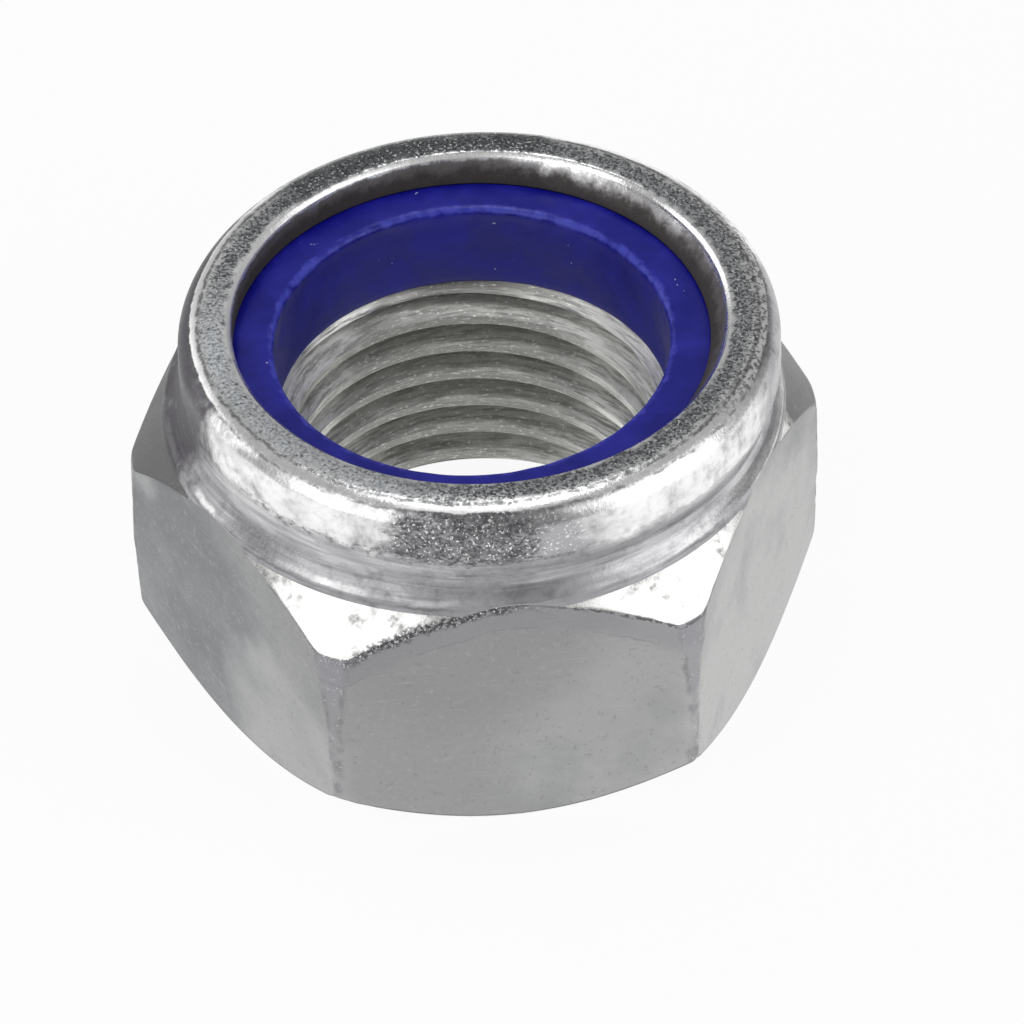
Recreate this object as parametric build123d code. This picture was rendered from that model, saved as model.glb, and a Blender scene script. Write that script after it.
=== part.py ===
from build123d import *
from math import atan, cos, radians, tan
import os

# Hexagon lock nut, M16 x 1.5, with a polyamide ring crimped into its collar. Sizes in millimetres.
# The bearing face lies on z = 0, the thread axis is Z and the collar points up.
# Two flats of the hexagon face +Y and -Y, and two of its corners point along X.
# The body is forged and turned in one piece. Its collar is rolled in over the ring after that is fitted.

# Thread
thread_diameter = 16.0
thread_pitch = 1.5
# A 60 degree metric nut thread is bored 1.0825 pitches under its nominal diameter.
minor_diameter_drop = 1.0825
foot_countersink_oversize = 0.9
ring_side_countersink_oversize = 0.2
countersink_angle = 45.0

# Hexagon
# The steel at a flat reaches from the thread's nominal diameter to the spanner's jaw.
steel_at_flats = 4.0
hexagon_height = 11.4
vertical_edge_radius = 0.5
bearing_diameter_inset = 0.3
foot_chamfer_angle = 47.0
foot_corner_cut = 0.16
crown_chamfer_angle = 52.0
crown_corner_cut = 0.66
corner_barrel_radius = 40.0
corner_barrel_height = 5.6
# Share of the side above the barrel that its rounding may take up
barrel_side_share = 0.45

# Outside of the collar, from the hexagon's crown to its rolled rim
collar_height = 4.3
collar_foot_oversize = 0.25
step_height = 0.35
step_width = 0.12
neck_rise = 0.9
neck_depth = 0.6
neck_radius = 0.8
bulge_swell = 0.21
shoulder_draw = 0.1
shoulder_radius = 1.15

# Lip that is rolled in over the ring. It isn't bent quite level, so that its end face leans back
# and its underside rises from the pocket's wall towards that face.
rim_land = 0.25
lip_overhang = 1.1
lip_face_lean = 0.42
lip_drop = 0.05
lip_edge_chamfer = 0.16
lip_thickness = 1.22
lip_underside_rise = 0.5

# Pocket under the lip
collar_wall = 1.15
pocket_sink = 0.85

# Polyamide ring
ring_bore_undersize = 0.7
ring_side_clearance = 0.03
ring_top_clearance = 0.03
ring_top_chamfer = 0.2
ring_foot_chamfer = 0.2

# Widths and heights that follow from those above
across_flats = thread_diameter + 2 * steel_at_flats
overall_height = hexagon_height + collar_height
ridge_radius = (across_flats + collar_foot_oversize) / 2 - step_width
neck_outer_radius = ridge_radius - neck_depth
pocket_outer_radius = neck_outer_radius - collar_wall
pocket_floor_height = hexagon_height - pocket_sink
lip_radius = pocket_outer_radius - lip_overhang
lip_under_height = overall_height - lip_thickness


def section_face(outline):
    """Face in the XZ plane from corner points of radius and height, each with its own rounding."""
    corners = [(radius, 0, height) for (radius, height), _ in outline]
    roundings = [rounding for _, rounding in outline]
    return Face(FilletPolyline(*corners, radius=roundings, close=True))


def hexagon_outline():
    """Outside of the hexagon as it is turned: bearing face, foot chamfer, barrelled corner and crown."""
    sharp_corner = across_flats / cos(radians(30)) / 2
    bearing = (across_flats - bearing_diameter_inset) / 2
    foot_corner = sharp_corner - foot_corner_cut / 2
    crown_corner = sharp_corner - crown_corner_cut / 2
    crown_foot = (across_flats + collar_foot_oversize) / 2
    foot_rise = (foot_corner - bearing) * tan(radians(foot_chamfer_angle))
    crown_fall = (crown_corner - crown_foot) * tan(radians(crown_chamfer_angle))
    barrel_side = hexagon_height - crown_fall - corner_barrel_height
    barrel_turn = atan((foot_corner - crown_corner) / barrel_side)
    barrel_room = barrel_side_share * barrel_side / tan(barrel_turn / 2)
    return [
        ((bearing, 0), 0),
        ((foot_corner, foot_rise), 0),
        ((foot_corner, corner_barrel_height), min(corner_barrel_radius, barrel_room)),
        ((crown_corner, hexagon_height - crown_fall), 0),
        ((crown_foot, hexagon_height), 0),
    ]


def collar_outline():
    """Outside of the collar: step, neck and the swelling that the rolling leaves, up to the rim."""
    neck_height = hexagon_height + neck_rise
    side_height = overall_height - shoulder_radius - neck_height
    bulge = neck_outer_radius + bulge_swell
    return [
        ((ridge_radius, hexagon_height + step_height), 0),
        ((neck_outer_radius, neck_height), neck_radius),
        ((bulge, neck_height + side_height / 2), side_height),
        ((bulge - shoulder_draw, overall_height), shoulder_radius),
    ]


def lip_and_pocket_outline():
    """Rolled lip, down its end face, and the pocket that holds the ring."""
    shoulder = neck_outer_radius + bulge_swell - shoulder_draw
    face_top = lip_radius + lip_face_lean
    return [
        ((shoulder - shoulder_radius - rim_land, overall_height), 0),
        ((face_top + lip_edge_chamfer, overall_height - lip_drop), 0),
        ((face_top, overall_height - lip_drop - lip_edge_chamfer), 0),
        ((lip_radius, lip_under_height), 0),
        ((pocket_outer_radius, lip_under_height - lip_underside_rise), 0),
        ((pocket_outer_radius, pocket_floor_height), 0),
    ]


def bore_outline():
    """Bore at the thread's minor diameter, from the pocket's floor down, with both its countersinks."""
    bore = (thread_diameter - minor_diameter_drop * thread_pitch) / 2
    foot_mouth = (thread_diameter + foot_countersink_oversize) / 2
    ring_mouth = (thread_diameter + ring_side_countersink_oversize) / 2
    slope = tan(radians(countersink_angle))
    return [
        ((ring_mouth, pocket_floor_height), 0),
        ((bore, pocket_floor_height - (ring_mouth - bore) * slope), 0),
        ((bore, (foot_mouth - bore) * slope), 0),
        ((foot_mouth, 0), 0),
    ]


def hexagon_prism():
    """Hexagonal bar as tall as the nut, with its six vertical edges rounded."""
    with BuildPart() as prism:
        with BuildSketch():
            RegularPolygon(radius=across_flats / 2, side_count=6, major_radius=False)
        extrude(amount=overall_height)
        fillet(prism.edges().filter_by(Axis.Z), radius=vertical_edge_radius)
    return prism.part


def nut_body():
    """Forged body: the turned section, cut to the hexagon."""
    section = hexagon_outline() + collar_outline() + lip_and_pocket_outline() + bore_outline()
    turned = revolve(section_face(section), axis=Axis.Z)
    return turned & hexagon_prism()


def nylon_insert():
    """Ring that fills the pocket between its floor and the rolled lip."""
    bore = (thread_diameter - ring_bore_undersize) / 2
    outer = pocket_outer_radius - ring_side_clearance
    top = lip_under_height - ring_top_clearance
    outline = [
        ((bore, pocket_floor_height + ring_foot_chamfer), 0),
        ((bore + ring_foot_chamfer, pocket_floor_height), 0),
        ((outer, pocket_floor_height), 0),
        ((outer, top - lip_underside_rise), 0),
        ((lip_radius, top), 0),
        ((bore + ring_top_chamfer, top), 0),
        ((bore, top - ring_top_chamfer), 0),
    ]
    return revolve(section_face(outline), axis=Axis.Z)


os.makedirs("parts", exist_ok=True)
export_step(nut_body(), "parts/nut_body.step")
export_step(nylon_insert(), "parts/nylon_insert.step")
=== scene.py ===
"""Studio picture of a hexagon lock nut: zinc plated body with a fine thread, and its blue ring.

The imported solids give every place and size. The body and the ring are modelled again here with
their rounded edges, the thread, and the small dents of a nut that has lain in a bin with others.
"""

import logging
import math
import random
from bisect import bisect_right
from dataclasses import dataclass, field
from enum import Enum

import bmesh
import bpy
from mathutils import Matrix, Vector, kdtree, noise


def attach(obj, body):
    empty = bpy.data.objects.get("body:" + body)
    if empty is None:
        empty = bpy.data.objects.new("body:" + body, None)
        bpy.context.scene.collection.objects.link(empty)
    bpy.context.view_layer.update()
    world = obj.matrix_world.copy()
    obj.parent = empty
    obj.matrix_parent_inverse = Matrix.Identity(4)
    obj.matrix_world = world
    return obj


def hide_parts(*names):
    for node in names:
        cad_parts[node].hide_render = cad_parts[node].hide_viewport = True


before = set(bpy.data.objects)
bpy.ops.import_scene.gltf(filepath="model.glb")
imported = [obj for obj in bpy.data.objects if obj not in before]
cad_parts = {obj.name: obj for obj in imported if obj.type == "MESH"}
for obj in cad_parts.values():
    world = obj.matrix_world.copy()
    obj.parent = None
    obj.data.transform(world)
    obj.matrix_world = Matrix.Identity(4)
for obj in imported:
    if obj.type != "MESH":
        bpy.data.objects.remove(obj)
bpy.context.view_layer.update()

LOG = logging.getLogger("lock_nut")
MM = 0.001
Point = tuple[float, float]
Triple = tuple[float, float, float]
Colour = Triple
Socket = bpy.types.NodeSocket
Mesh = bmesh.types.BMesh
Vert = bmesh.types.BMVert
Layer = bmesh.types.BMLayerItem


class Region(Enum):
    """Parts of the body with a finish of their own. The value is the material's place."""

    FLATS = 0
    CHAMFERS = 1
    COLLAR = 2
    POCKET = 3
    THREAD = 4
    BEARING = 5


class Measure(Enum):
    """Distances in millimetres that a mesh carries at its points, for the finishes to follow."""

    FRINGE = "fringe"
    FOOT = "foot"
    TURNED = "turned"
    PROFILE = "profile"
    CREST = "crest"
    BURR = "burr"


class Stretch(Enum):
    """Stretches of the body's outer sheet, each with its own way to place a row."""

    FIXED = "bearing face"
    FOOT = "foot chamfer"
    WALL = "flat"
    CROWN = "crown chamfer"
    ABOVE = "collar and pocket"


def grey(level: float) -> Colour:
    """Give a colour without a hue."""
    return (level, level, level)


def even(size: float) -> Triple:
    """Give a size that is alike along X, Y and Z."""
    return (size, size, size)


def held(share: float) -> float:
    """Hold a share between 0 and 1."""
    return min(max(share, 0.0), 1.0)


def between(one: Point, other: Point, share: float) -> Point:
    """Give the point at a share of the way from one point to another."""
    return (one[0] + (other[0] - one[0]) * share, one[1] + (other[1] - one[1]) * share)


def dial(node: bpy.types.Node, values: dict[str, object]) -> None:
    """Set the inputs of a node that nothing is joined to."""
    for name, value in values.items():
        node.inputs[name].default_value = value


class Board:
    """Node tree of one material, with short ways to add nodes and to join them."""

    def __init__(self, name: str) -> None:
        """Start a material that holds one shader.

        Args:
            name: Name of the material.
        """
        self.material = bpy.data.materials.new(name)
        self.material.use_nodes = True
        self.tree = self.material.node_tree
        self.shader = self.tree.nodes["Principled BSDF"]
        self.place = self.add("ShaderNodeTexCoord").outputs["Object"]

    def add(self, kind: str, dials: dict[str, object] | None = None,
            **settings: object) -> bpy.types.Node:
        """Add a node.

        Args:
            kind: Blender's name of the node's type.
            dials: Values of the node's inputs.
            **settings: Properties of the node.

        Returns:
            The new node.
        """
        node = self.tree.nodes.new(kind)
        for name, value in settings.items():
            setattr(node, name, value)
        dial(node, dials or {})
        return node

    def join(self, source: Socket | float | tuple, target: Socket) -> None:
        """Link an output to an input, or give the input a plain value."""
        if isinstance(source, Socket):
            self.tree.links.new(source, target)
        else:
            target.default_value = source

    def mapped(self, stretch: Triple, centre: Triple = (0.0, 0.0, 0.0)) -> Socket:
        """Give the surface's place, in lengths of a pattern.

        Args:
            stretch: Lengths of the pattern along X, Y and Z, in millimetres.
            centre: Point that becomes the pattern's zero, in millimetres.

        Returns:
            Output with the mapped place.
        """
        dials = {"Location": [value * MM for value in centre],
                 "Scale": [value * MM for value in stretch]}
        node = self.add("ShaderNodeMapping", dials, vector_type="TEXTURE")
        self.join(self.place, node.inputs["Vector"])
        return node.outputs["Vector"]

    def clouds(self, stretch: Triple, detail: float = 4.0, wrinkle: float = 0.55) -> Socket:
        """Give cloudy noise between 0 and 1.

        Args:
            stretch: Size of the clouds along X, Y and Z, in millimetres.
            detail: Octaves of finer clouds.
            wrinkle: Share of the finer clouds.

        Returns:
            Output with the noise.
        """
        dials = {"Scale": 1.0, "Detail": detail, "Roughness": wrinkle}
        node = self.add("ShaderNodeTexNoise", dials)
        self.join(self.mapped(stretch), node.inputs["Vector"])
        return node.outputs["Fac"]

    def ball(self, spot: Triple, reach: float) -> Socket:
        """Give a level that falls from 1 at a spot to 0 at its reach.

        Args:
            spot: Middle of the ball, in millimetres.
            reach: Radius of the ball, in millimetres.

        Returns:
            Output with the level.
        """
        ball = self.add("ShaderNodeTexGradient", gradient_type="SPHERICAL")
        self.join(self.mapped(even(reach), spot), ball.inputs["Vector"])
        return ball.outputs["Fac"]

    def measured(self, measure: Measure) -> Socket:
        """Give one of the mesh's own measures, in millimetres."""
        node = self.add("ShaderNodeAttribute", attribute_type="GEOMETRY", attribute_name=measure.value)
        return node.outputs["Fac"]

    def ramp(self, level: Socket, low: float, high: float,
             start: float = 0.0, end: float = 1.0) -> Socket:
        """Spread a level over a range, and hold it there.

        Args:
            level: Output to spread.
            low: Level that gives the start.
            high: Level that gives the end.
            start: Result at the low level and below.
            end: Result at the high level and above.

        Returns:
            Output with the spread level.
        """
        dials = {"From Min": low, "From Max": high, "To Min": start, "To Max": end}
        node = self.add("ShaderNodeMapRange", dials, clamp=True, interpolation_type="SMOOTHSTEP")
        self.join(level, node.inputs["Value"])
        return node.outputs["Result"]

    def combine(self, operation: str, first: Socket, second: Socket | float) -> Socket:
        """Work out one level from two.

        Args:
            operation: Blender's name of the sum, such as MULTIPLY.
            first: First level.
            second: Second level, or a number.

        Returns:
            Output with the result.
        """
        node = self.add("ShaderNodeMath", operation=operation)
        self.join(first, node.inputs[0])
        self.join(second, node.inputs[1])
        return node.outputs[0]

    def paint(self, under: Socket | Colour, over: Colour, cover: Socket) -> Socket:
        """Lay one colour over another.

        Args:
            under: Colour below, as an output or as a plain colour.
            over: Colour on top.
            cover: How far the colour on top covers, from 0 to 1.

        Returns:
            Output with the colour.
        """
        node = self.add("ShaderNodeMix", data_type="RGBA")
        self.join((*under, 1.0) if isinstance(under, tuple) else under, node.inputs[6])
        self.join((*over, 1.0), node.inputs[7])
        self.join(cover, node.inputs[0])
        return node.outputs[2]

    def relief(self, heights: list[tuple[Socket, float]]) -> None:
        """Give the surface a fine relief.

        Args:
            heights: Outputs with heights from 0 to 1, each with its depth in millimetres.
        """
        target = self.shader.inputs["Normal"]
        for height, depth in reversed(heights):
            bump = self.add("ShaderNodeBump", {"Strength": 1.0, "Distance": depth * MM})
            self.join(height, bump.inputs["Height"])
            self.join(bump.outputs["Normal"], target)
            target = bump.inputs["Normal"]


@dataclass(frozen=True)
class Blotches:
    """Patches of one colour and gloss on a finish, all over it or about one spot."""

    colour: Colour
    size: Triple
    start: float = 0.5
    full: float = 0.6
    most: float = 1.0
    roughness: float = 0.0
    detail: float = 3.0
    wrinkle: float = 0.55
    spot: Triple | None = None
    reach: float = 5.0

    def cover(self, board: Board) -> Socket:
        """Give how far the patches cover.

        Args:
            board: Material's board.

        Returns:
            Output with the cover, from 0 to 1.
        """
        level = board.clouds(self.size, self.detail, self.wrinkle)
        if self.spot:
            near = board.ramp(board.ball(self.spot, self.reach), 0.0, 0.5, -0.5, 0.0)
            level = board.combine("ADD", level, near)
        return board.ramp(level, self.start, self.full, 0.0, self.most)


@dataclass(frozen=True)
class Band:
    """Strip of one colour and gloss between two values of a measure, whole or broken by a grain."""

    measure: Measure
    low: float
    high: float
    colour: Colour
    most: float = 1.0
    roughness: float = 0.0
    soft: float = 0.03
    waver: float = 0.0
    grain: Triple | None = None
    start: float = 0.40
    full: float = 0.60
    spot: Triple | None = None
    reach: float = 5.0

    def cover(self, board: Board) -> Socket:
        """Give how far the strip covers.

        Args:
            board: Material's board.

        Returns:
            Output with the cover, from 0 to 1.
        """
        level = board.measured(self.measure)
        if self.waver:
            stir = board.ramp(board.clouds(even(0.8), 3.0, 0.7), 0.3, 0.7, -self.waver, self.waver)
            level = board.combine("ADD", level, stir)
        above = board.ramp(level, self.low - self.soft, self.low + self.soft, 0.0, self.most)
        below = board.ramp(level, self.high - self.soft, self.high + self.soft, 1.0, 0.0)
        inside = board.combine("MULTIPLY", above, below)
        if self.grain:
            grain = board.ramp(board.clouds(self.grain, 2.0, 0.5), self.start, self.full)
            inside = board.combine("MULTIPLY", inside, grain)
        if self.spot:
            near = board.ramp(board.ball(self.spot, self.reach), 0.0, 0.5)
            inside = board.combine("MULTIPLY", inside, near)
        return inside


@dataclass(frozen=True)
class ZincFinish:
    """Zinc plate on steel, as the tool or the die left it, with layers that also paint light and shade.
    """

    name: str
    colour: Colour
    roughness: float
    layers: tuple[Blotches | Band, ...] = ()
    grain_size: Triple = (0.08, 0.08, 0.08)
    grain_depth: float = 0.002
    gloss_spread: float = 0.05
    swell_size: float = 1.5
    swell_depth: float = 0.01
    tool_lines: float = 0.0
    tool_line_depth: float = 0.0

    def material(self) -> bpy.types.Material:
        """Build the material.

        Returns:
            The finished material.
        """
        board = Board(self.name)
        dial(board.shader, {"Metallic": 1.0})
        colour: Socket | Colour = self.colour
        grain = board.clouds(self.grain_size, 2.0, 0.6)
        gloss = board.ramp(grain, 0.3, 0.7, self.roughness - self.gloss_spread,
                           self.roughness + self.gloss_spread)
        for layer in self.layers:
            cover = layer.cover(board)
            colour = board.paint(colour, layer.colour, cover)
            gloss = board.combine("ADD", gloss, board.combine("MULTIPLY", cover, layer.roughness))
        if isinstance(colour, tuple):
            colour = board.paint(colour, tuple(0.9 * value for value in colour), grain)
        board.join(colour, board.shader.inputs["Base Color"])
        board.join(gloss, board.shader.inputs["Roughness"])
        swell = board.clouds(even(self.swell_size), 2.0, 0.5)
        heights = [(grain, self.grain_depth), (swell, self.swell_depth)]
        if self.tool_lines:
            heights.append((self.lines(board), self.tool_line_depth))
        board.relief(heights)
        return board.material

    def lines(self, board: Board) -> Socket:
        """Give the fine rings that a cutting tool leaves round the axis.

        Args:
            board: Material's board.

        Returns:
            Output with the lines' height.
        """
        dials = {"Scale": 1.0, "Distortion": 3.0, "Detail": 2.0, "Detail Scale": 0.6}
        wave = board.add("ShaderNodeTexWave", dials, wave_type="RINGS", rings_direction="Z")
        rate = 20  # The texture's waves turn by 20 radians a length.
        board.join(board.mapped(even(self.tool_lines * rate)), wave.inputs["Vector"])
        return wave.outputs["Fac"]


@dataclass(frozen=True)
class NylonFinish:
    """Dyed polyamide, semi-gloss, with a bloom, a lighter strip of flash and painted highlight along the
    inner top edge, and a few specks of dust.
    """

    name: str
    colour: Colour
    bloom: Colour
    burr: Colour
    dust: Colour
    roughness: float = 0.36
    shine: float = 0.32

    def material(self) -> bpy.types.Material:
        """Build the material.

        Returns:
            The finished material.
        """
        board = Board(self.name)
        dial(board.shader, {"IOR": 1.53, "Specular IOR Level": self.shine})
        clouds = board.clouds(even(2.2), 3.0, 0.6)
        colour = board.paint(self.colour, self.bloom, board.ramp(clouds, 0.35, 0.75))
        # Lighter strip along the inner top edge: moulding flash, and a painted highlight
        edge = Band(Measure.BURR, -0.16, 0.20, self.burr, 0.9, soft=0.10, waver=0.10,
                    grain=even(0.5), start=0.25, full=0.55)
        colour = board.paint(colour, edge.colour, edge.cover(board))
        specks = board.ramp(board.clouds(even(0.16), 1.0, 0.3), 0.74, 0.80)
        rare = board.ramp(board.clouds(even(1.8), 1.0, 0.5), 0.60, 0.64)
        colour = board.paint(colour, self.dust, board.combine("MULTIPLY", specks, rare))
        board.join(colour, board.shader.inputs["Base Color"])
        gloss = board.ramp(clouds, 0.3, 0.7, self.roughness - 0.06, self.roughness + 0.08)
        board.join(gloss, board.shader.inputs["Roughness"])
        board.relief([(board.clouds(even(0.12), 2.0, 0.6), 0.003), (clouds, 0.05)])
        return board.material


def bands(measure: Measure, *rows: tuple) -> tuple[Band, ...]:
    """Give bands along one measure, from rows of Band's other values in their order."""
    return tuple(Band(measure, *row) for row in rows)


# Worn edge where a flat meets the crown
FRINGE = bands(
    Measure.FRINGE,
    (-0.08, 0.06, (0.14, 0.14, 0.145), 0.45, 0.1, 0.05, 0.03, even(1.1), 0.45, 0.7),
    (-0.34, 0.16, (0.06, 0.06, 0.065), 0.9, 0.15, 0.14, 0.14, even(0.16), 0.34, 0.58, (-3.0, -12.2, 11.0),
        4.6),
    (-0.1, 0.05, (0.08, 0.08, 0.085), 0.75, 0.15, 0.06, 0.05, even(0.2), 0.38, 0.56, (4.6, -12.2, 10.8),
        4.2),
    (-0.3, 0.18, grey(0.9), 0.85, -0.1, 0.08, 0.08, even(0.1), 0.58, 0.68, (-3.4, -12.2, 11.0), 5.6),
)

FLATS_LAYERS = (
    # Painted light and shade from one side to the next: the left flat darker with a lighter foot, the
    # front flat lighter at its right and darker near its top, the right flat lighter
    Blotches((0.2, 0.21, 0.222), even(4.0), 0.0, 0.5, 0.95, spot=(-13.5, -3.8, 6.0), reach=9.5),
    Blotches(grey(0.45), even(4.0), 0.0, 0.5, 0.9, spot=(-9.6, -9.6, 3.0), reach=5.6),
    Blotches(grey(0.43), even(5.0), -0.1, 0.6, 0.8, spot=(6.6, -12.6, 4.4), reach=9.0),
    Blotches((0.285, 0.285, 0.29), even(5.0), -0.1, 0.7, 0.6, spot=(-1.6, -12.2, 10.2), reach=6.5),
    Blotches((0.52, 0.52, 0.515), even(4.0), 0.05, 0.45, 0.95, spot=(11.8, -7.5, 4.5), reach=10.0),
    # Mottle, specks, pits and streaks
    Blotches((0.27, 0.28, 0.285), even(3.2), 0.48, 0.78, 0.45, 0.04),
    Blotches(grey(0.44), even(0.3), 0.52, 0.75, 0.45, -0.04, 3.0, 0.7),
    Blotches(grey(0.22), even(0.22), 0.6, 0.75, 0.45, 0.04, 2.0, 0.6),
    Blotches(grey(0.5), (3.0, 3.0, 0.06), 0.62, 0.72, 0.3, -0.1, 2.0),
    # Turned corners and their worn edges
    *bands(Measure.TURNED,
        (0.0, 9.0, (0.32, 0.315, 0.34), 0.7, -0.04, 0.14, 0.04),
        (-0.12, 0.06, (0.14, 0.14, 0.15), 0.6, 0.1, 0.1, 0.06, (0.7, 0.7, 1.0), 0.36, 0.72),
        (-0.05, 0.4, grey(0.75), 0.5, -0.1, 0.05, 0.05, even(0.14), 0.6, 0.74),
    ),
    # Darker strip under the crown, and painted shade along the edge of the foot
    *bands(Measure.FRINGE,
        (-1.25, -0.05, (0.29, 0.285, 0.31), 0.5, 0.0, 0.35, 0.14, None, 0.4, 0.6, (0.0, -12.2, 10.8),
            10.5),
        (-1.27, -1.2, (0.18, 0.18, 0.2), 0.45, 0.05, 0.05, 0.08, even(1.8), 0.4, 0.7, (0.0, -12.2, 10.8),
            10.5),
    ),
    *bands(Measure.FOOT,
        # Painted shade along the foot's edge
        (-0.5, 0.07, grey(0.13), 0.6, 0.1, 0.06, 0.02),
    ),
    *FRINGE,
)

CHAMFERS_LAYERS = (
    Blotches(grey(0.6), even(1.6), 0.66, 0.84, 0.25, 0.08),
    # Painted shade on the crown beside the corner at -X, and darker patches beside the corner at +X
    Blotches((0.03, 0.03, 0.034), even(0.9), 0.0, 0.4, 0.92, 0.1, 4.0, 0.7, spot=(-13.2, 0.6, 10.6),
        reach=6.8),
    Blotches(grey(0.12), even(0.5), 0.12, 0.5, 0.8, -0.05, 4.0, 0.7, spot=(-12.6, -1.6, 10.6), reach=4.8),
    Blotches(grey(0.12), even(0.9), 0.0, 0.4, 0.92, 0.1, 4.0, 0.7, spot=(13.2, 0.8, 10.6), reach=5.5),
    *FRINGE,
)

COLLAR_LAYERS = (
    # Mottle, then painted shade on the bulge: darker at the right, a dark mottled patch with dark specks
    # and bright grains at the front, and a darker left side
    Blotches((0.66, 0.66, 0.67), (1.2, 1.2, 0.7), 0.58, 0.84, 0.25, 0.06),
    # Painted shade: the bulge darker at the right, and a dark mottled patch with specks at its front
    Blotches((0.42, 0.415, 0.43), (2.0, 2.0, 1.2), -0.05, 0.45, 0.95, 0.06, spot=(12.4, -2.0, 13.6),
        reach=5.5),
    Blotches((0.38, 0.375, 0.39), (1.5, 1.5, 1.0), -0.05, 0.5, 0.9, 0.06, spot=(-0.6, -12.1, 13.3),
        reach=5.4),
    Blotches((0.12, 0.12, 0.125), (0.6, 0.6, 0.36), 0.24, 0.7, 0.9, 0.2, 5.0, 0.75,
        spot=(-1.9, -11.7, 14.1), reach=4.4),
    Blotches((0.06, 0.06, 0.065), (0.16, 0.16, 0.12), 0.42, 0.62, 0.75, 0.2, 3.0, 0.7,
        spot=(-1.7, -11.8, 14.2), reach=4.6),
    Blotches(grey(0.96), even(0.12), 0.58, 0.66, 0.9, -0.1, 2.0, 0.6, spot=(-0.8, -11.8, 14.2),
        reach=6.4),
    # Painted shade on the left side of the collar
    Blotches((0.1, 0.095, 0.105), (1.0, 1.0, 2.2), 0.0, 0.45, 0.95, 0.1, 4.0, 0.65,
        spot=(-11.4, 2.6, 13.6), reach=9.5),
    # Neck: grey band, painted highlights, drawn lines, and painted shade at its foot and under the bulge
    *bands(Measure.PROFILE,
        # Darker grey neck: a duller finish, and painted shade for its dark reflection
        (-2.0, 2.3, (0.38, 0.375, 0.39), 0.95, 0.08, 0.22, 0.15),
        # Painted highlights at the front left and at the front right
        (1.2, 2.3, (0.72, 0.72, 0.73), 0.85, -0.04, 0.25, 0.2, (3.0, 3.0, 0.5), 0.34, 0.7,
            (-8.0, -9.5, 12.9), 8.0),
        (0.3, 2.3, (0.66, 0.66, 0.67), 0.85, -0.04, 0.25, 0.2, (3.0, 3.0, 0.5), 0.3, 0.66,
            (9.0, -8.5, 12.6), 7.5),
        (-2.0, 2.5, (0.18, 0.175, 0.185), 0.55, 0.1, 0.2, 0.15, (2.8, 2.8, 0.13), 0.46, 0.8),
        (-2.0, 2.5, (0.8, 0.8, 0.81), 0.5, -0.05, 0.2, 0.15, (2.8, 2.8, 0.11), 0.54, 0.8),
        # Painted shade under the bulge
        (2.15, 2.55, (0.09, 0.085, 0.09), 0.75, 0.1, 0.14, 0.15, (0.25, 0.25, 0.16), 0.46, 0.68,
            (-4.2, -11.0, 13.2), 9.0),
        # Painted highlight on the step's edge, and painted shade on its face below
        (0.36, 0.6, grey(0.85), 0.75, -0.08, 0.08, 0.06, even(3.0), 0.42, 0.6),
        (0.16, 0.28, grey(0.12), 0.6, 0.05, 0.06, 0.04, even(3.2), 0.34, 0.56),
        # Painted shade at the front of the neck's foot
        (-2.0, 0.9, (0.39, 0.385, 0.405), 0.85, 0.05, 0.25, 0.05, None, 0.4, 0.6, (0.6, -12.2, 11.4),
            4.0),
    ),
    # Painted shade on the left of the neck
    Blotches((0.07, 0.065, 0.075), (1.4, 1.4, 0.9), 0.0, 0.45, 0.9, 0.1, 4.0, 0.65,
        spot=(-11.6, 2.2, 12.6), reach=7.5),
    # Rim: bright shoulder with two thin lines of painted shade, and speckled land, darker at the back,
    # with painted highlight grains at the front left and painted shade at the right
    *bands(Measure.PROFILE,
        (4.5, 6.3, grey(0.95), 1.0, -0.02, 0.04, 0.04),
        # Two thin lines of painted shade on the shoulder
        (4.36, 4.46, grey(0.14), 0.7, 0.1, 0.05, 0.05, even(0.35), 0.36, 0.62),
        (4.78, 4.93, grey(0.12), 0.8, 0.1, 0.05, 0.06, even(0.35), 0.26, 0.54),
        (5.2, 5.84, (0.46, 0.47, 0.48), 0.95, 0.12, 0.12, 0.1),
    ),
    Blotches((0.12, 0.125, 0.13), even(0.6), 0.0, 0.5, 0.85, 0.1, spot=(-1.4, 10.9, 16.4), reach=8.0),
    *bands(Measure.PROFILE,
        (4.98, 5.86, (0.05, 0.055, 0.06), 0.9, 0.15, 0.12, 0.16, even(0.12), 0.39, 0.62),
        (4.9, 5.86, (0.1, 0.11, 0.115), 0.75, 0.1, 0.14, 0.15, even(0.26), 0.44, 0.7),
        # Painted highlight grains on the land at the front left
        (5.02, 5.86, (0.84, 0.87, 0.9), 0.85, 0.0, 0.14, 0.1, even(0.14), 0.26, 0.7, (-9.4, -5.6, 15.7),
            10.0),
        # Painted shade at the right
        (4.4, 5.1, (0.07, 0.07, 0.075), 0.8, 0.15, 0.12, 0.15, even(0.17), 0.46, 0.62, (11.6, -0.8, 15.5),
            8.5),
        (4.6, 6.0, grey(0.94), 0.85, -0.12, 0.08, 0.1, even(0.11), 0.58, 0.7),
        # Lip: bright bead over the inner face, which painted shade darkens deeper into the pocket, with a
        # painted highlight at the back right
        (5.95, 6.28, grey(0.95), 0.95, 0.0, 0.07, 0.06),
        (6.28, 9.0, (0.2, 0.185, 0.18), 0.95, 0.3, 0.16, 0.12),
        (6.6, 9.0, (0.09, 0.08, 0.078), 0.85, 0.3, 0.3, 0.15),
        # Painted highlight on the lip at the back right
        (6.1, 6.5, grey(0.8), 0.65, -0.2, 0.24, 0.12, None, 0.4, 0.6, (6.6, 7.2, 15.2), 5.6),
    ),
)

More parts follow.
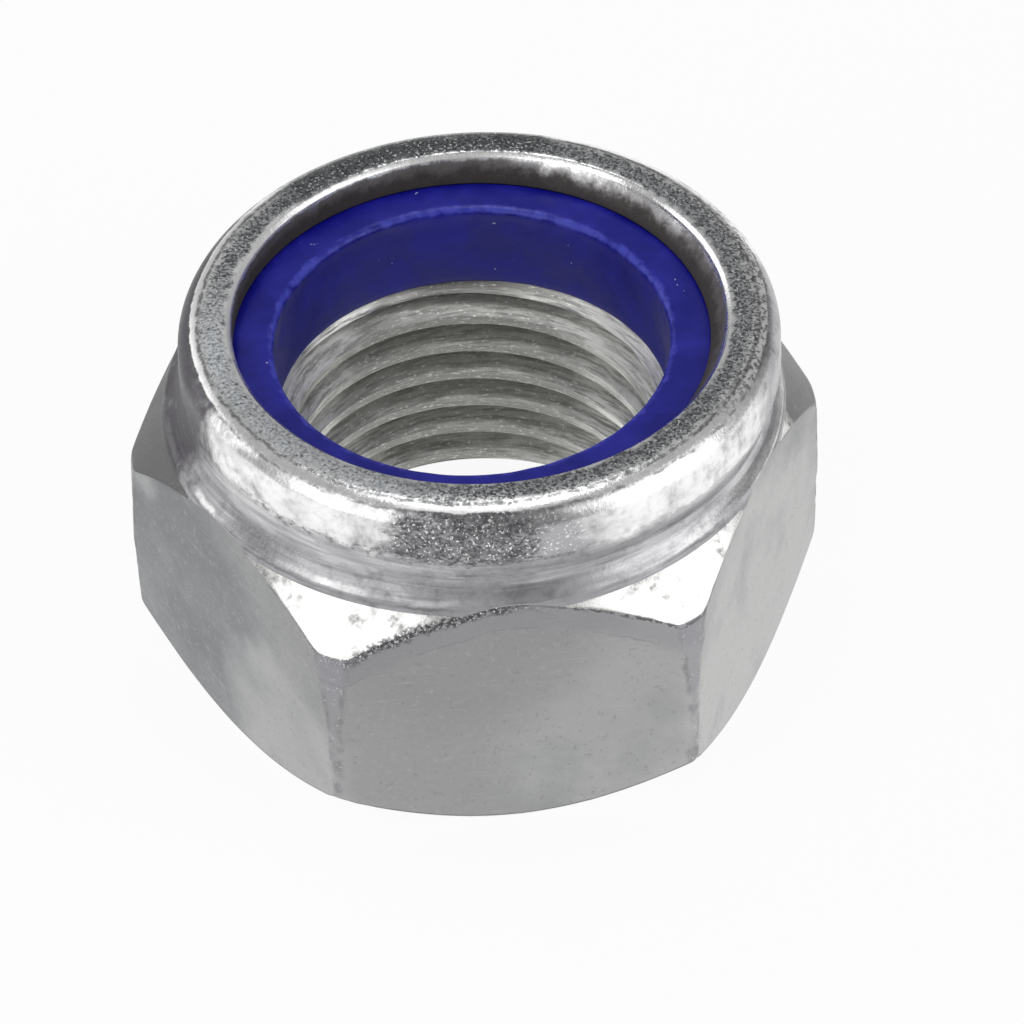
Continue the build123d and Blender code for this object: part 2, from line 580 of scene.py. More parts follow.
THREAD_LAYERS = (
    # Painted shade at the back, also on the crests, painted shade in the grooves' roots, a dark line
    # along the flanks, and scratches along the turns
    Blotches((0.44, 0.44, 0.42), even(1.5), -0.05, 0.5, 0.95, spot=(0.0, 9.5, 6.0), reach=8.5),
    *bands(Measure.CREST,
        # Painted shade on the crests at the back
        (-0.1, 0.2, (0.24, 0.24, 0.23), 0.85, -0.04, 0.08, 0.02, None, 0.4, 0.6, (0.0, 9.5, 6.0), 9.6),
        # Painted shade in the grooves' roots
        (0.7, 0.9, (0.13, 0.13, 0.12), 0.85, 0.1, 0.04, 0.02),
        (0.36, 0.42, (0.24, 0.24, 0.22), 0.6, 0.05, 0.03, 0.03, (2.5, 2.5, 0.3), 0.34, 0.56),
    ),
    Blotches((0.22, 0.22, 0.2), (1.3, 1.3, 0.06), 0.42, 0.68, 0.65, 0.1, 3.0),
    Blotches((0.95, 0.95, 0.92), (0.26, 0.26, 0.05), 0.56, 0.7, 0.65, -0.12, 3.0, 0.65),
)

BEARING_LAYERS = (
    Blotches(grey(0.4), even(2.0), 0.45, 0.65, 0.6, 0.1),
)

BODY_FINISHES: dict[Region, ZincFinish] = {
    Region.FLATS: ZincFinish("zinc_flats", grey(0.34), 0.42, FLATS_LAYERS, grain_size=even(0.1),
        grain_depth=0.003, swell_size=1.6, swell_depth=0.02),
    Region.CHAMFERS: ZincFinish("zinc_chamfers", (0.84, 0.84, 0.83), 0.24, CHAMFERS_LAYERS,
        swell_depth=0.006, tool_lines=0.1, tool_line_depth=0.0008),
    Region.COLLAR: ZincFinish("zinc_collar", grey(0.98), 0.21, COLLAR_LAYERS, grain_size=even(0.12),
        grain_depth=0.006, swell_size=1.1, swell_depth=0.02),
    Region.POCKET: ZincFinish("zinc_pocket", grey(0.35), 0.45),
    Region.THREAD: ZincFinish("zinc_thread", (0.92, 0.92, 0.88), 0.4, THREAD_LAYERS,
        grain_size=(0.9, 0.9, 0.045), grain_depth=0.008, swell_depth=0.01),
    Region.BEARING: ZincFinish("zinc_bearing", grey(0.62), 0.3, BEARING_LAYERS, tool_lines=0.12,
        tool_line_depth=0.002),
}

RING_FINISH = NylonFinish(
    "blue_polyamide", (0.003, 0.004, 0.21), (0.012, 0.013, 0.32), (0.052, 0.060, 0.46),
    (0.45, 0.48, 0.62))


@dataclass(frozen=True)
class Corner:
    """Corner of a turned outline, with the radius of its rounding in millimetres."""

    radius: float
    height: float
    rounding: float = 0.0
    segments: int = 6


def rounded_outline(corners: list[Corner]) -> list[Point]:
    """Round the corners of an open outline.

    Args:
        corners: Corners in order, of which the first and the last stay as they are.

    Returns:
        Points of radius and height along the rounded outline.
    """
    wire = bmesh.new()
    places = [Vector((corner.radius, 0.0, corner.height)) for corner in corners]
    chain = [wire.verts.new(place) for place in places]
    for pair in zip(chain, chain[1:]):
        wire.edges.new(pair)
    for corner, before, middle, after in zip(corners[1:], places, places[1:], places[2:]):
        if corner.rounding <= 0.0:
            continue
        turn = (middle - before).angle(after - middle)
        vertex = min(wire.verts, key=lambda each: (each.co - middle).length)
        bmesh.ops.bevel(
            wire, geom=[vertex], offset=corner.rounding * math.tan(turn / 2), offset_type="OFFSET",
            segments=corner.segments, profile=0.5, affect="VERTICES", clamp_overlap=False, material=-1)
    walked = [min(wire.verts, key=lambda each: (each.co - places[0]).length)]
    edge = walked[0].link_edges[0]
    while edge:
        walked.append(edge.other_vert(walked[-1]))
        edge = next((each for each in walked[-1].link_edges if each is not edge), None)
    outline = [(vertex.co.x, vertex.co.z) for vertex in walked]
    wire.free()
    return outline


def along(outline: list[Point], lengths: list[float], distance: float) -> Point:
    """Give the point at a distance along an outline.

    Args:
        outline: Points of radius and height.
        lengths: Distance of each point from the first, in millimetres.
        distance: Distance that is sought, in millimetres.

    Returns:
        Radius and height there.
    """
    index = min(max(bisect_right(lengths, distance), 1), len(outline) - 1)
    share = (distance - lengths[index - 1]) / (lengths[index] - lengths[index - 1])
    return between(outline[index - 1], outline[index], held(share))


def crossing(radius: float, one: Point, other: Point) -> Point:
    """Give the point at a radius on a cone's side, held between its two ends."""
    return between(one, other, held((radius - one[0]) / (other[0] - one[0])))


def spin_round(mesh: Mesh, outline: list[Vert | bmesh.types.BMEdge], columns: int,
               lift: float = 0.0) -> list[Vert]:
    """Spin an outline once round the axis: a sixth by columns, then copies of that sector.

    Args:
        mesh: Mesh that holds the outline.
        outline: Vertices and edges of the outline.
        columns: Columns of one sector.
        lift: Height gained in one turn, for a helical sheet.

    Returns:
        Vertices of the turned sheet.
    """
    others = set(mesh.verts) - {part for part in outline if isinstance(part, Vert)}
    sectors = 6
    sector = 2 * math.pi / sectors
    bmesh.ops.spin(
        mesh, geom=outline, cent=(0, 0, 0), axis=(0, 0, 1), dvec=(0, 0, lift / sectors / columns),
        angle=sector, steps=columns, use_merge=False, use_duplicate=False)
    whole = [vertex for vertex in mesh.verts if vertex not in others]
    edges = {edge for vertex in whole for edge in vertex.link_edges}
    faces = {face for vertex in whole for face in vertex.link_faces}
    bmesh.ops.spin(
        mesh, geom=whole + list(edges) + list(faces), cent=(0, 0, 0), axis=(0, 0, 1),
        dvec=(0, 0, lift / sectors), angle=2 * math.pi - sector, steps=sectors - 1,
        use_merge=False, use_duplicate=True)
    sheet = [vertex for vertex in mesh.verts if vertex not in others]
    bmesh.ops.remove_doubles(mesh, verts=sheet, dist=0.0005)
    return [vertex for vertex in mesh.verts if vertex not in others]


def finish_object(mesh: Mesh, name: str, materials: list[bpy.types.Material],
                  sharp_above: float) -> bpy.types.Object:
    """Turn a mesh in millimetres into an object in metres.

    Args:
        mesh: Closed mesh, which is freed.
        name: Name of the object.
        materials: Materials, in the order of the faces' numbers.
        sharp_above: Angle between faces past which an edge stays sharp, in degrees.

    Returns:
        The object, linked to the scene.
    """
    bmesh.ops.recalc_face_normals(mesh, faces=mesh.faces)
    if mesh.calc_volume(signed=True) < 0.0:
        bmesh.ops.reverse_faces(mesh, faces=mesh.faces)
    bmesh.ops.scale(mesh, vec=(MM, MM, MM), verts=mesh.verts)
    open_edges = sum(1 for edge in mesh.edges if not edge.is_manifold)
    data = bpy.data.meshes.new(name)
    mesh.to_mesh(data)
    mesh.free()
    data.polygons.foreach_set("use_smooth", [True] * len(data.polygons))
    data.set_sharp_from_angle(angle=math.radians(sharp_above))
    for material in materials:
        data.materials.append(material)
    data.update()
    piece = bpy.data.objects.new(name, data)
    bpy.context.scene.collection.objects.link(piece)
    triangles = sum(len(face.vertices) - 2 for face in data.polygons)
    LOG.info("%s: %d triangles, %d open edges", name, triangles, open_edges)
    return piece


@dataclass(frozen=True)
class Dent:
    """Shallow knock in the body's outside."""

    angle: float
    height: float
    reach: float
    depth: float


@dataclass(frozen=True)
class Row:
    """Row of the body's outer sheet. Its place is a length along the outline, or a share of a stretch."""

    region: Region
    stretch: Stretch
    place: float


@dataclass
class ForgedBody:
    """Hexagon with its collar, rolled lip, pocket and thread, in one piece. Sizes in millimetres.

    The lengths of the outline, and the places of the foot, the crown and the collar's base on it, are
    filled in when the rows are planned. The pushes are the rows' distances from the base.
    """

    thread_radius: float = 8.0
    pitch: float = 1.5
    bore_radius: float = 7.188
    groove_at_zero: float = 0.336
    thread_turns: int = 9
    half_flats: float = 12.0
    corner_rounding: float = 0.5
    bearing_radius: float = 11.85
    foot_corner: Point = (13.776, 2.066)
    crown_corner: Point = (13.526, 9.606)
    corner_middle: float = 5.6
    crown_foot: Point = (12.125, 11.4)
    foot_mouth: float = 8.45
    ring_mouth: float = 8.1
    pocket_floor: float = 10.55
    pocket_wall: float = 10.255
    pocket_edge: Point = (10.85, 14.40)
    top: float = 15.7
    columns_per_side: int = 66
    thread_columns: int = 30
    row_gap: float = 0.25
    least_gap: float = 0.004
    off_centre: Point = (0.30, 0.08)
    shift_outside: Point = (12.0, 1.5)
    shift_inside: Point = (14.5, 0.9)
    softening: int = 8
    seed: int = 11
    rows: list[Row] = field(default_factory=list)
    lengths: list[float] = field(default_factory=list)
    pushes: list[float] = field(default_factory=list)
    foot_at: float = 0.0
    crown_at: int = 0
    base_at: int = 0

    def build(self) -> bpy.types.Object:
        """Build and dress the body.

        Returns:
            The body's object.
        """
        mesh = bmesh.new()
        self.thread(mesh)
        self.outside(mesh)
        self.close(mesh)
        materials = [BODY_FINISHES[region].material() for region in Region]
        body = finish_object(mesh, "forged_body", materials, sharp_above=32.0)
        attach(body, "root")
        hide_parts("nut_body")
        return body

    def outline(self) -> list[Point]:
        """Outline of the turned blank, from the foot's countersink up to the pocket's floor."""
        return rounded_outline([
            Corner(self.foot_mouth - 0.10, 0.10),
            Corner(self.foot_mouth, 0.0, 0.05, 3),
            Corner(self.bearing_radius, 0.0, 0.10, 4),
            Corner(*self.foot_corner),
            Corner(self.foot_corner[0], self.corner_middle, 40.0, 12),
            Corner(*self.crown_corner),
            Corner(*self.crown_foot, 0.06, 3),
            Corner(12.005, 11.75, 0.14, 4),  # Step at the collar's foot
            Corner(11.405, 12.30, 0.80, 8),  # Neck
            Corner(11.615, 13.425, 2.25, 10),  # Bulge
            Corner(11.515, self.top, 1.15, 12),  # Shoulder
            Corner(10.115, self.top, 0.60, 4),  # Inner edge of the rim
            Corner(9.66, 15.65, 0.20, 4),  # Bead over the lip
            Corner(9.49, 15.48, 0.20, 5),
            Corner(9.155, 14.48, 0.05, 3),  # Lower edge of the lip
            Corner(self.pocket_wall, 13.98, 0.08, 3),
            Corner(self.pocket_wall, self.pocket_floor, 0.10, 3),
            Corner(self.ring_mouth, self.pocket_floor, 0.03, 2),
            Corner(self.ring_mouth - 0.05, self.pocket_floor - 0.05),
        ])

    def wall(self, angle: float) -> float:
        """Radius of the hexagonal bar at an angle.

        Args:
            angle: Angle about the axis from the X direction, in radians.

        Returns:
            Distance of the bar's side from the axis.
        """
        sixth = math.pi / 3
        beside = abs((angle + sixth / 2) % sixth - sixth / 2)
        centre = (self.half_flats - self.corner_rounding) / math.cos(sixth / 2)
        tangent = sixth / 2 - math.atan2(centre * math.sin(sixth / 2), self.half_flats)
        if beside >= tangent:
            return self.half_flats / math.cos(sixth / 2 - beside)
        across = centre * math.sin(beside)
        return centre * math.cos(beside) + math.sqrt(self.corner_rounding ** 2 - across ** 2)

    def column_angle(self, angle: float) -> float:
        """Crowd the evenly spun columns towards the hexagon's corners.

        Args:
            angle: Angle of the column as spun, in radians.

        Returns:
            Angle at which the column stands.
        """
        sixth = math.pi / 3
        nearest = round(angle / sixth) * sixth
        share = (angle - nearest) / (sixth / 2)
        crowded = 0.12 * abs(share) + 0.88 * abs(share) ** 1.8
        return nearest + math.copysign(crowded, share) * sixth / 2

    def plan_rows(self, outline: list[Point]) -> None:
        """List the rows of the outer sheet, from the foot's countersink to the pocket's floor.

        Args:
            outline: Outline of the turned blank.
        """
        lengths = [0.0]
        for one, other in zip(outline, outline[1:]):
            lengths.append(lengths[-1] + math.dist(one, other))
        self.lengths = lengths
        order = range(len(outline))
        self.crown_at = min(order, key=lambda i: math.dist(outline[i], self.crown_corner))
        self.base_at = min(order, key=lambda i: math.dist(outline[i], self.crown_foot))
        edge = next(i for i in order if outline[i][0] > self.bearing_radius - 0.12)
        self.foot_at = lengths[edge]
        rows: list[Row] = []
        for i in range(edge + 1):
            gap = lengths[i + 1] - lengths[i]
            parts = 8 if gap > 1.0 else 1
            rows += [Row(Region.BEARING, Stretch.FIXED, lengths[i] + gap * k / parts)
                     for k in range(parts)]
        foot = (0.12, 0.25, 0.4, 0.55, 0.7, 0.82, 0.91, 0.96)
        near = [0.0, 0.005, 0.011, 0.019, 0.030, 0.046, 0.07]
        middle = [0.07 + 0.86 * k / 20 for k in range(1, 20)]
        wall = near + middle + [1.0 - share for share in reversed(near)]
        crown = (0.025, 0.055, 0.10, 0.16, 0.25, 0.37, 0.5, 0.64, 0.78, 0.9)
        rows += [Row(Region.CHAMFERS, Stretch.FOOT, share) for share in foot]
        rows += [Row(Region.FLATS, Stretch.WALL, share) for share in wall]
        rows += [Row(Region.CHAMFERS, Stretch.CROWN, share) for share in crown]
        for i in range(self.base_at, len(outline)):
            after = outline[min(i + 1, len(outline) - 1)]
            gap = math.dist(outline[i], after)
            hidden = any(radius < self.pocket_edge[0] and height < self.pocket_edge[1]
                         for radius, height in (outline[i], after))
            region = Region.POCKET if hidden else Region.COLLAR
            parts = int(gap / self.row_gap) + 1
            rows += [Row(region, Stretch.ABOVE, lengths[i] + gap * k / parts)
                     for k in range(parts)]
        self.rows = rows

    def rows_on(self, stretch: Stretch) -> list[int]:
        """Give the numbers of the rows on one stretch."""
        return [number for number, row in enumerate(self.rows) if row.stretch is stretch]

    def outside(self, mesh: Mesh) -> None:
        """Turn the outer sheet and press the hexagon's flats into it.

        Args:
            mesh: Mesh that takes the sheet.
        """
        outline = self.outline()
        self.plan_rows(outline)
        measures = (Measure.FRINGE, Measure.FOOT, Measure.TURNED, Measure.PROFILE)
        for measure in measures:
            mesh.verts.layers.float.new(measure.value)
        fringe, foot, turned, profile = (
            mesh.verts.layers.float[measure.value] for measure in measures)
        number = mesh.verts.layers.int["row"]
        chain = []
        for index in range(len(self.rows)):
            vertex = mesh.verts.new((20.0, 0.0, index * 0.1))
            vertex[number] = index + 1
            chain.append(vertex)
        edges = [mesh.edges.new(pair) for pair in zip(chain, chain[1:])]
        sheet = spin_round(mesh, chain + edges, self.columns_per_side)
        columns: dict[int, list[Vert]] = {}
        step = math.pi / 3 / self.columns_per_side
        for vertex in sheet:
            column = round(math.atan2(vertex.co.y, vertex.co.x) / step)
            columns.setdefault(column, []).append(vertex)
        walls = self.rows_on(Stretch.WALL)
        for column, vertices in columns.items():
            angle = self.column_angle(column * step)
            wall = self.wall(angle)
            section = self.section(outline, wall)
            edge = Vector(section[walls[-1]])
            sole = section[walls[0]][1]
            for vertex in vertices:
                place = vertex[number] - 1
                radius, height = section[place]
                vertex.co = (radius * math.cos(angle), radius * math.sin(angle), height)
                beyond = (Vector((radius, height)) - edge).length
                vertex[fringe] = height - edge.y if place <= walls[-1] else beyond
                vertex[foot] = height - sole
                vertex[turned] = (wall - self.barrel(height)) * math.sqrt(3.0)
                vertex[profile] = self.pushes[place]
        crown_foot = self.crown_foot[1]
        for face in {face for vertex in sheet for face in vertex.link_faces}:
            row = self.rows[min(vertex[number] for vertex in face.verts) - 1]
            lowest = min(vertex.co.z for vertex in face.verts)
            past_crown = row.stretch is Stretch.CROWN and lowest > crown_foot - 0.02
            face.material_index = (Region.COLLAR if past_crown else row.region).value
        self.soften(sheet, mesh, number)
        self.knock(sheet, number)
        self.shift_collar(sheet, number)

    def section(self, outline: list[Point], wall: float) -> list[Point]:
        """Give the outer sheet's section where the bar's side has a certain radius.

        Args:
            outline: Outline of the turned blank.
            wall: Radius of the hexagonal bar at the section.

        Returns:
            Radius and height of each row.
        """
        start = along(outline, self.lengths, self.foot_at)
        low = crossing(wall, start, self.foot_corner)
        if wall > self.crown_foot[0]:
            high = crossing(wall, self.crown_corner, self.crown_foot)
            reached = self.lengths[self.crown_at] + math.dist(self.crown_corner, high)
        else:
            reached, high = self.reach_collar(outline, wall)
        base = self.lengths[self.base_at]
        points: list[Point] = []
        self.pushes = []
        pushed = reached
        for row in self.rows:
            if row.stretch is Stretch.FIXED:
                points.append(along(outline, self.lengths, row.place))
            elif row.stretch is Stretch.FOOT:
                points.append(between(start, low, row.place))
            elif row.stretch is Stretch.WALL:
                height = low[1] + (high[1] - low[1]) * row.place
                points.append((min(wall, self.barrel(height)), height))
            else:
                if row.stretch is Stretch.CROWN:
                    pushed = reached + max(base - reached, 0.03) * row.place
                else:
                    pushed = max(row.place, pushed + self.least_gap)
                points.append(along(outline, self.lengths, pushed))
            self.pushes.append(pushed - base)
        return points

    def reach_collar(self, outline: list[Point], wall: float) -> tuple[float, Point]:
        """Find where a flat runs out into the collar's foot.

        Args:
            outline: Outline of the turned blank.
            wall: Radius of the hexagonal bar at the section.

        Returns:
            Distance along the outline, and the point there.
        """
        for i in range(self.base_at, len(outline) - 1):
            if outline[i + 1][0] < wall:
                share = (outline[i][0] - wall) / (outline[i][0] - outline[i + 1][0])
                reached = self.lengths[i] + share * (self.lengths[i + 1] - self.lengths[i])
                return reached, along(outline, self.lengths, reached)
        raise ValueError("the flat misses the collar")

    def barrel(self, height: float) -> float:
        """Give the radius of the turned corners at a height."""
        fall = self.foot_corner[0] - self.crown_corner[0]
        rise = self.crown_corner[1] - self.corner_middle
        return self.foot_corner[0] - fall * max(height - self.corner_middle, 0.0) / rise

    def soften(self, sheet: list[Vert], mesh: Mesh, number: Layer) -> None:
        """Round the curved edges of the flats a little.

        Args:
            sheet: Vertices of the outer sheet.
            mesh: Mesh with the outer sheet.
            number: Layer with each vertex's row.
        """
        walls = self.rows_on(Stretch.WALL)
        first, last = walls[0] + 1, walls[-1] + 1
        bands = set(range(first - 3, first + 5)) | set(range(last - 4, last + 4))
        soft = [vertex for vertex in sheet if vertex[number] in bands]
        for _ in range(self.softening):
            bmesh.ops.smooth_vert(
                mesh, verts=soft, factor=0.5, use_axis_x=True, use_axis_y=True, use_axis_z=True)

    def shift_collar(self, sheet: list[Vert], number: Layer) -> None:
        """Set the rolled collar a little off centre, as the rolling leaves it.

        Args:
            sheet: Vertices of the outer sheet.
            number: Layer with each vertex's row.
        """
        for vertex in sheet:
            row = self.rows[vertex[number] - 1]
            if row.stretch is not Stretch.ABOVE or row.region is Region.POCKET:
                continue
            on_lip = math.hypot(vertex.co.x, vertex.co.y) < 9.6
            start, rise = self.shift_inside if on_lip else self.shift_outside
            share = held((vertex.co.z - start) / rise)
            smooth = share * share * (3 - 2 * share)
            vertex.co.x += self.off_centre[0] * smooth
            vertex.co.y += self.off_centre[1] * smooth

    def dents(self) -> list[Dent]:
        """List the knocks: a few on the corners' edges, the rest strewn over the flats."""
        draw = random.Random(self.seed)
        knocks = [
            Dent(240.0, 1.6, 0.8, 0.10), Dent(243.5, 1.2, 0.6, 0.06), Dent(238.0, 2.6, 0.7, 0.05),
            Dent(300.0, 6.2, 0.7, 0.05), Dent(300.5, 3.4, 0.6, 0.04), Dent(299.5, 8.3, 0.6, 0.05),
        ]
        for _ in range(90):
            knocks.append(Dent(draw.uniform(0, 360), draw.uniform(1.5, 10.2),
                               draw.uniform(0.3, 0.9), draw.uniform(0.004, 0.02)))
        for corner in range(6):
            for _ in range(4):
                knocks.append(Dent(60 * corner + draw.uniform(-1.5, 1.5), draw.uniform(1.2, 9.8),
                                   draw.uniform(0.3, 0.7), draw.uniform(0.02, 0.05)))
        return knocks

    def knock(self, sheet: list[Vert], number: Layer) -> None:
        """Press the dents into the hexagon and let its faces waver slightly.

        Args:
            sheet: Vertices of the outer sheet.
            number: Layer with each vertex's row.
        """
        pressed = (Stretch.FOOT, Stretch.WALL, Stretch.CROWN)
        hexagon = [vertex for vertex in sheet if self.rows[vertex[number] - 1].stretch in pressed]
        finder = kdtree.KDTree(len(hexagon))
        for index, vertex in enumerate(hexagon):
            finder.insert(vertex.co, index)
        finder.balance()
        depths = [0.0] * len(hexagon)
        for dent in self.dents():
            angle = math.radians(dent.angle)
            radius = self.wall(angle)
            centre = Vector((radius * math.cos(angle), radius * math.sin(angle), dent.height))
            for _, index, distance in finder.find_range(centre, dent.reach):
                depths[index] += dent.depth * (1 - (distance / dent.reach) ** 2) ** 2
        for vertex, depth in zip(hexagon, depths):
            outward = Vector((vertex.co.x, vertex.co.y, 0.0)).normalized()
            waver = 0.006 * noise.noise(vertex.co * 0.5) + 0.003 * noise.noise(vertex.co * 1.7)
            vertex.co += outward * min(waver - depth - 0.004, 0.0)

    def thread_row(self, place: float) -> float:
        """Give the radius of the thread at a place above its groove's middle, in pitches."""
        beside = min(place % 1.0, 1.0 - place % 1.0)
        depth = self.thread_radius - self.bore_radius
        return self.thread_radius - depth * held((beside - 1 / 16) / (5 / 16))

    def thread(self, mesh: Mesh) -> None:
        """Spin the thread as one helical sheet, and cut it to the bore's two countersinks.

        Args:
            mesh: Empty mesh that takes the thread.
        """
        number = mesh.verts.layers.int.new("row")
        crest = mesh.verts.layers.float.new(Measure.CREST.value)
        half = (0.0, 1 / 16, 0.12, 0.18, 0.24, 0.31, 0.36, 3 / 8, 0.42)
        places = list(half) + [0.5] + [1.0 - place for place in reversed(half[1:])]
        lowest = self.groove_at_zero - 2 * self.pitch
        heights = [lowest + (turn + place) * self.pitch
                   for turn in range(self.thread_turns) for place in places]
        heights.append(lowest + self.thread_turns * self.pitch)
        chain = []
        for height in heights:
            place = (height - lowest) / self.pitch
            vertex = mesh.verts.new((self.thread_row(place), 0.0, height))
            vertex[crest] = abs(place % 1.0 - 0.5) * self.pitch
            chain.append(vertex)
        edges = [mesh.edges.new(pair) for pair in zip(chain, chain[1:])]
        spin_round(mesh, chain + edges, self.thread_columns, self.pitch)
        cut_low, cut_high = 0.22, self.pocket_floor - 0.12
        for height, upward in ((cut_low, -1), (cut_high, 1)):
            bmesh.ops.bisect_plane(
                mesh, geom=mesh.verts[:] + mesh.edges[:] + mesh.faces[:], dist=1e-5,
                plane_co=(0, 0, height), plane_no=(0, 0, upward), clear_outer=True)
        for vertex in mesh.verts:
            vertex[number] = 0
            radius = math.hypot(vertex.co.x, vertex.co.y)
            cone = max(self.foot_mouth - vertex.co.z,
                       self.ring_mouth - (self.pocket_floor - vertex.co.z))
            place = Vector((vertex.co.x, vertex.co.y, vertex.co.z * 4))
            goal = max(radius + 0.006 * noise.noise(place * 1.5), cone)
            vertex.co.x *= goal / radius
            vertex.co.y *= goal / radius
        for face in mesh.faces:
            face.material_index = Region.THREAD.value

    def close(self, mesh: Mesh) -> None:
        """Join the thread to the outer sheet at both countersinks.

        Args:
            mesh: Mesh with both sheets.
        """
        rims = [edge for edge in mesh.edges if edge.is_boundary]
        low = [edge for edge in rims if edge.verts[0].co.z < self.corner_middle]
        high = [edge for edge in rims if edge.verts[0].co.z > self.corner_middle]
        for rim in (low, high):
            for face in bmesh.ops.bridge_loops(mesh, edges=rim)["faces"]:
                face.material_index = Region.THREAD.value


@dataclass
class LockingRing:
    """Polyamide ring held under the rolled lip. Sizes in millimetres."""

    bore: float = 7.65
    outer: float = 10.225
    floor: float = 10.55
    top: float = 14.45
    shoulder: float = 9.14
    shoulder_drop: float = 0.5
    edge_rounding: float = 0.3
    row_gap: float = 0.25
    columns: int = 60
    raggedness: float = 0.035

    def build(self) -> bpy.types.Object:
        """Build and dress the ring.

        Returns:
            The ring's object.
        """
        outline = rounded_outline([
            Corner(self.bore, 12.0),
            Corner(self.bore, self.floor, 0.2, 4),
            Corner(self.outer, self.floor, 0.15, 3),
            Corner(self.outer, self.top - self.shoulder_drop, 0.15, 3),
            Corner(self.shoulder, self.top),
            Corner(8.3, self.top),
            Corner(self.bore, self.top, self.edge_rounding, 6),
            Corner(self.bore, 13.2),
        ])
        points: list[Point] = []
        for one, other in zip(outline, outline[1:] + outline[:1]):
            parts = max(1, round(math.dist(one, other) / self.row_gap))
            points += [between(one, other, k / parts) for k in range(parts)]
        mesh = bmesh.new()
        burr = mesh.verts.layers.float.new(Measure.BURR.value)
        chain = [mesh.verts.new((radius, 0.0, height)) for radius, height in points]
        for vertex, point in zip(chain, points):
            vertex[burr] = math.dist(point, (self.bore, self.top))
        edges = [mesh.edges.new(pair) for pair in zip(chain, chain[1:] + chain[:1])]
        spin_round(mesh, chain + edges, self.columns)
        self.fray(mesh)
        ring = finish_object(mesh, "locking_ring", [RING_FINISH.material()], sharp_above=60.0)
        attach(ring, "root")
        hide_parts("nylon_insert")
        return ring

    def fray(self, mesh: Mesh) -> None:
        """Let the ring's inner edge waver, as the moulding's flash leaves it.

        Args:
            mesh: Mesh of the ring.
        """
        for vertex in mesh.verts:
            radius = math.hypot(vertex.co.x, vertex.co.y)
            near = max(0.0, 1.0 - abs(radius - self.bore) / 0.5)
            inner = near * max(0.0, 1.0 - abs(vertex.co.z - self.top) / 0.6)
            if inner == 0.0:
                continue
            around = Vector((vertex.co.x, vertex.co.y, 0.0)) / radius
            fine = noise.noise(around * 45.0)
            broad = noise.noise(around * 9.0 + Vector((3.0, 5.0, 7.0)))
            vertex.co += around * inner * self.raggedness * (fine + broad - 1.6)
            vertex.co.z += inner * self.raggedness * (fine - 1.2)


@dataclass(frozen=True)
class Softbox:
    """Square lamp that faces the nut. Lengths in metres, power in watts."""

    name: str
    place: Triple
    size: float
    power: float

    def build(self) -> None:
        """Add the lamp to the scene."""
        data = bpy.data.lights.new(self.name, "AREA")
        data.shape = "SQUARE"
        data.size = self.size
        data.energy = self.power
        lamp = bpy.data.objects.new(self.name, data)
        lamp.location = self.place
        aim = Vector((0.0, 0.0, 0.008)) - Vector(self.place)
        lamp.rotation_euler = aim.to_track_quat("-Z", "Y").to_euler()
        bpy.context.scene.collection.objects.link(lamp)


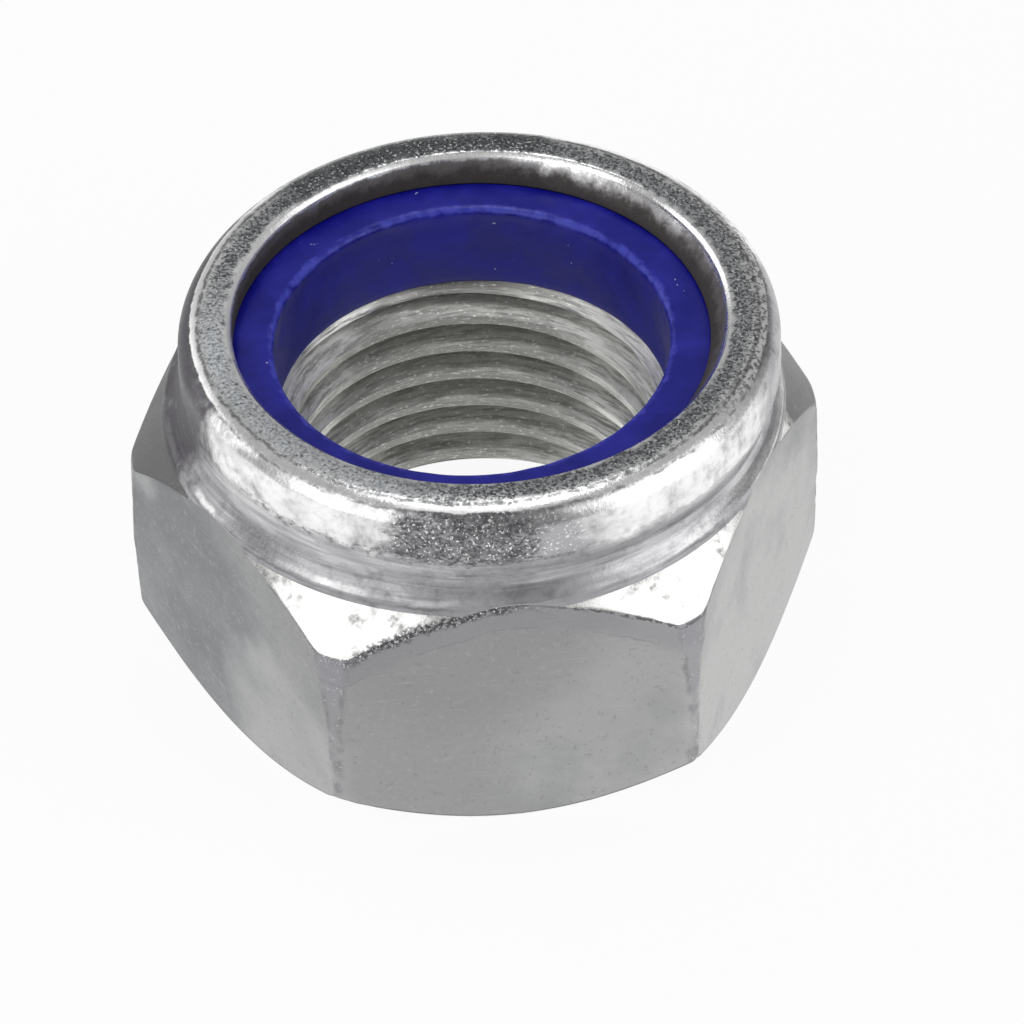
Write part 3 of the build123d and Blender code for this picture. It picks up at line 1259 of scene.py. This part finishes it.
@dataclass
class Studio:
    """Pale floor, softboxes, world and camera."""

    floor_size: float = 1.2
    floor_shown: float = 0.92
    world_level: float = 0.40
    lamps: tuple[Softbox, ...] = (
        Softbox("softbox_left", (-0.20, -0.17, 0.15), 0.26, 0.24),
        Softbox("softbox_right", (0.22, -0.14, 0.12), 0.26, 0.24),
        Softbox("softbox_side", (-0.26, 0.15, 0.07), 0.26, 0.20),
        Softbox("softbox_top", (0.0, 0.03, 0.26), 0.14, 0.15),
    )
    camera_place: Triple = (-0.0100595, -0.1082200, 0.1100360)
    camera_back: Triple = (-0.067572, -0.726955, 0.683358)
    camera_turns: Triple = (0.5137, -0.9338, -2.1276)
    focal_length: float = 132.43

    def build(self) -> None:
        """Build the whole studio."""
        self.build_floor()
        self.build_world()
        for lamp in self.lamps:
            lamp.build()
        self.build_camera()

    def build_floor(self) -> None:
        """Lay the pale floor that the nut stands on."""
        sheet = bmesh.new()
        bmesh.ops.create_grid(sheet, x_segments=2, y_segments=2, size=self.floor_size)
        data = bpy.data.meshes.new("floor")
        sheet.to_mesh(data)
        sheet.free()
        floor = bpy.data.objects.new("floor", data)
        bpy.context.scene.collection.objects.link(floor)
        board = Board("pale_floor")
        dial(board.shader, {"Base Color": (0.9, 0.9, 0.9, 1.0), "Roughness": 0.9})
        glow = board.add("ShaderNodeEmission", {"Strength": 1.0})
        path = board.add("ShaderNodeLightPath")
        seen = board.combine("MULTIPLY", path.outputs["Is Camera Ray"], self.floor_shown)
        for ray in ("Is Glossy Ray", "Is Transmission Ray"):
            seen = board.combine("ADD", seen, path.outputs[ray])
        mix = board.add("ShaderNodeMixShader")
        board.join(board.combine("MINIMUM", seen, 1.0), mix.inputs["Fac"])
        board.join(board.shader.outputs["BSDF"], mix.inputs[1])
        board.join(glow.outputs["Emission"], mix.inputs[2])
        board.join(mix.outputs["Shader"], board.tree.nodes["Material Output"].inputs["Surface"])
        data.materials.append(board.material)

    def build_world(self) -> None:
        """Surround the nut with even pale light."""
        world = bpy.data.worlds.new("studio")
        bpy.context.scene.world = world
        world.use_nodes = True
        level = {"Color": (1.0, 1.0, 1.0, 1.0), "Strength": self.world_level}
        dial(world.node_tree.nodes["Background"], level)

    def build_camera(self) -> None:
        """Set the camera up at the angle of the photograph."""
        data = bpy.data.cameras.new("camera")
        data.lens = self.focal_length
        data.sensor_width = 36.0
        data.clip_start = 0.005
        data.clip_end = 10.0
        camera = bpy.data.objects.new("camera", data)
        bpy.context.scene.collection.objects.link(camera)
        across, up, roll = (math.radians(turn) for turn in self.camera_turns)
        aim = (-Vector(self.camera_back)).to_track_quat("-Z", "Y").to_matrix()
        turned = (aim @ Matrix.Rotation(-across, 3, "Y") @ Matrix.Rotation(up, 3, "X")
                  @ Matrix.Rotation(roll, 3, "Z"))
        camera.matrix_world = Matrix.Translation(self.camera_place) @ turned.to_4x4()
        bpy.context.scene.camera = camera


def main() -> None:
    """Build the nut and its studio."""
    logging.basicConfig(level=logging.INFO, format="%(name)s: %(message)s")
    bpy.context.scene.view_settings.view_transform = "Standard"
    Studio().build()
    ForgedBody().build()
    LockingRing().build()


if __name__ == "__main__":
    main()
